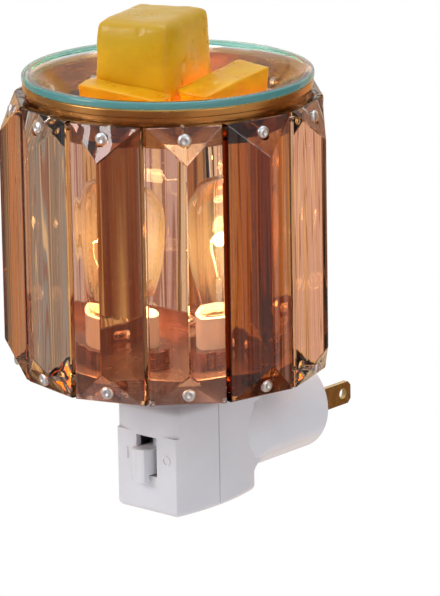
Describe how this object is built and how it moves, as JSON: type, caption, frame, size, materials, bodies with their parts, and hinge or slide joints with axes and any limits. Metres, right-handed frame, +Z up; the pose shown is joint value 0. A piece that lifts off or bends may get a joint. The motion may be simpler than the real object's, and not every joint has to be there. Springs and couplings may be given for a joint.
{
  "type": "plug-in wax melt warmer",
  "caption": "Plug-in wax melt warmer: glass dish over a drum of faceted amber crystal bars round a lamp, on a white base with a swing switch and a turning wall plug.",
  "frame": {"origin": "on the plug's axis, in the plane where the arm's end face meets the wall", "axes": "+Y into the wall along the plug, +Z up along the drum axis, -Y towards the switch and the front"},
  "size_m": [0.0886, 0.1113, 0.1363],
  "materials": {
    "crystal": "polished",
    "dish_glass": "polished",
    "lamp_glass": "polished",
    "wax": "waxy",
    "copper_band": "satin",
    "pin_steel": "polished",
    "white_plastic": "gloss",
    "brass": "satin",
    "solder": "satin",
    "black_glass": "gloss",
    "filament": "glowing",
    "live_insulation": "satin",
    "neutral_insulation": "satin"
  },
  "bodies": {
    "warmer": {"bottom_pin_clips": "pin_steel", "bottom_pins": "pin_steel", "centre_contact": "brass", "contact_carrier": "white_plastic", "crystal_bar_01": "crystal", "crystal_bar_02": "crystal", "crystal_bar_03": "crystal", "crystal_bar_04": "crystal", "crystal_bar_05": "crystal", "crystal_bar_06": "crystal", "crystal_bar_07": "crystal", "crystal_bar_08": "crystal", "crystal_bar_09": "crystal", "crystal_bar_10": "crystal", "crystal_bar_11": "crystal", "crystal_bar_12": "crystal", "front_shell": "white_plastic", "lamp_holder": "white_plastic", "lever_pin": "pin_steel", "live_contact_arc": "brass", "live_switch_strip": "brass", "live_wire": "live_insulation", "load_switch_strip": "brass", "neutral_contact_arc": "brass", "neutral_wire": "neutral_insulation", "rear_shell": "white_plastic", "screw_shell": "brass", "shade_nut": "copper_band", "shade_tray": "copper_band", "shell_screws": "pin_steel", "switch_wire": "live_insulation", "top_pin_clips": "pin_steel", "top_pins": "pin_steel", "top_ring": "copper_band"},
    "switch_lever": {"switch_lever": "white_plastic", "switch_bridge": "brass"},
    "dish": {"glass_dish": "dish_glass"},
    "left_wax": {"wax_cube_left": "wax"},
    "right_wax": {"wax_cube_right": "wax"},
    "large_wax": {"wax_cube_large": "wax"},
    "bulb": {"bulb_glass": "lamp_glass", "bulb_cap": "brass", "bulb_insulator": "black_glass", "bulb_tip": "solder", "bulb_stem": "lamp_glass", "bulb_leads": "solder", "bulb_filament": "filament"},
    "plug": {"plug_disc": "white_plastic", "plug_blade_left": "brass", "plug_blade_right": "brass"}
  },
  "joints": [
    {"name": "lever_swing", "type": "hinge", "parent": "warmer", "child": "switch_lever", "pos_m": [0, -0.0555, 0], "axis": [0, 0, 1], "range_deg": [0, 17]},
    {"name": "dish_lift", "type": "slide", "parent": "warmer", "child": "dish", "axis": [0, 0, 1], "range_m": [0, 0.04]},
    {"name": "left_wax_lift", "type": "slide", "parent": "dish", "child": "left_wax", "axis": [0, 0, 1], "range_m": [0, 0.03]},
    {"name": "right_wax_lift", "type": "slide", "parent": "dish", "child": "right_wax", "axis": [0, 0, 1], "range_m": [0, 0.03]},
    {"name": "large_wax_lift", "type": "slide", "parent": "dish", "child": "large_wax", "axis": [0, 0, 1], "range_m": [0, 0.03]},
    {"name": "bulb_unscrew", "type": "slide", "parent": "warmer", "child": "bulb", "axis": [0, 0, 1], "range_m": [0, 0.01]},
    {"name": "plug_turn", "type": "hinge", "parent": "warmer", "child": "plug", "pos_m": [0, 0, 0], "axis": [0, 1, 0], "range_deg": [0, 90]}
  ]
}
